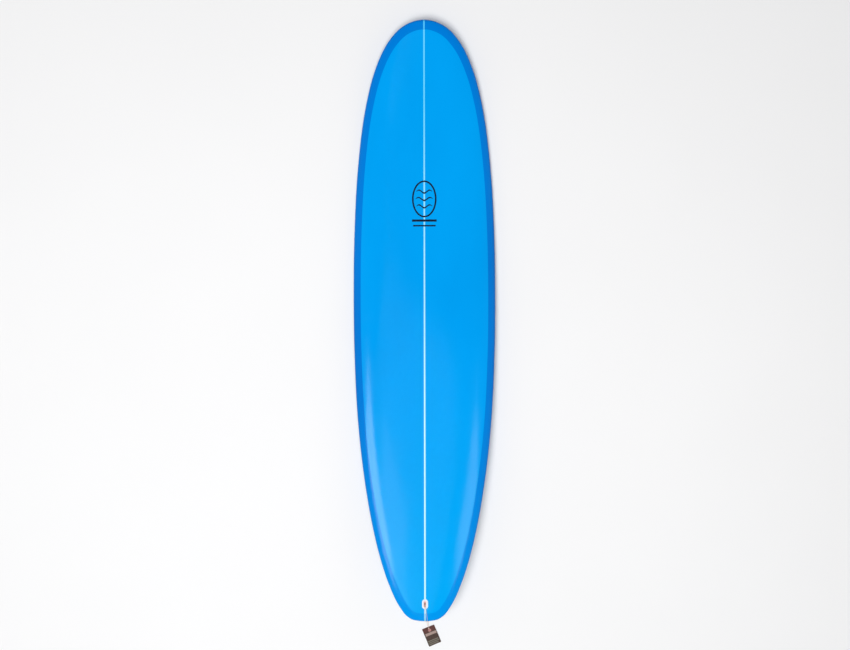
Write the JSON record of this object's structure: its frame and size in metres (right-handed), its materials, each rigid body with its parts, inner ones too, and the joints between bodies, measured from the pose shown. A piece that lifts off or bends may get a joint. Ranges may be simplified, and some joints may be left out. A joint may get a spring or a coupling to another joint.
{
  "type": "surfboard",
  "caption": "Round-nosed surfboard with a foam core on a wooden stringer, tinted laminates, removable fins in boxes and a leash plug.",
  "frame": {"origin": "on the flat of the hull's bottom, on the centreline, half way along the board", "axes": "+Y towards the nose, +X to the board's right seen from above, +Z out of the deck"},
  "size_m": [0.582, 2.5865, 0.2366],
  "materials": {
    "foam": "matte",
    "stringer_wood": "matte",
    "tinted_lap": "gloss",
    "tinted_deck": "gloss",
    "deck_print": "gloss",
    "white_plastic": "satin",
    "fin_plastic": "satin",
    "stainless": "satin",
    "brass": "satin",
    "twine": "matte",
    "tag_card": "matte"
  },
  "bodies": {
    "board": {"foam_blank_left": "foam", "foam_blank_right": "foam", "stringer": "stringer_wood", "bottom_laminate": "tinted_lap", "deck_laminate": "tinted_deck", "deck_decal": "deck_print", "leash_plug": "white_plastic", "leash_plug_pin": "stainless", "centre_fin_box": "white_plastic", "left_fin_box": "white_plastic", "right_fin_box": "white_plastic", "tag_string_left": "twine", "tag_string_right": "twine", "hang_tag": "tag_card"},
    "centre_fin": {"centre_fin": "fin_plastic", "centre_fin_roll_pin": "brass", "centre_fin_plate": "stainless"},
    "centre_fin_screw": {"centre_fin_screw": "stainless"},
    "left_fin": {"left_fin": "fin_plastic"},
    "left_fin_screw": {"left_fin_screw": "stainless"},
    "right_fin": {"right_fin": "fin_plastic"},
    "right_fin_screw": {"right_fin_screw": "stainless"}
  },
  "joints": [
    {"name": "centre_fin_slide", "type": "slide", "parent": "board", "child": "centre_fin", "axis": [0, 0.9961, -0.0882], "range_m": [-0.03, 0.03]},
    {"name": "centre_fin_screw_turn", "type": "hinge", "parent": "centre_fin", "child": "centre_fin_screw", "pos_m": [0, -0.90376, 0.03978], "axis": [0, -0.0882, -0.9961], "continuous": true},
    {"name": "left_fin_pull", "type": "slide", "parent": "board", "child": "left_fin", "axis": [-0.1077, -0.0709, -0.9916], "range_m": [0, 0.014]},
    {"name": "left_fin_screw_turn", "type": "hinge", "parent": "board", "child": "left_fin_screw", "pos_m": [-0.16729, -0.78214, 0.03157], "axis": [-0.0454, 0.6543, -0.7549], "continuous": true},
    {"name": "right_fin_pull", "type": "slide", "parent": "board", "child": "right_fin", "axis": [0.1077, -0.0709, -0.9916], "range_m": [0, 0.014]},
    {"name": "right_fin_screw_turn", "type": "hinge", "parent": "board", "child": "right_fin_screw", "pos_m": [0.16729, -0.78214, 0.03157], "axis": [0.0454, 0.6543, -0.7549], "continuous": true}
  ]
}
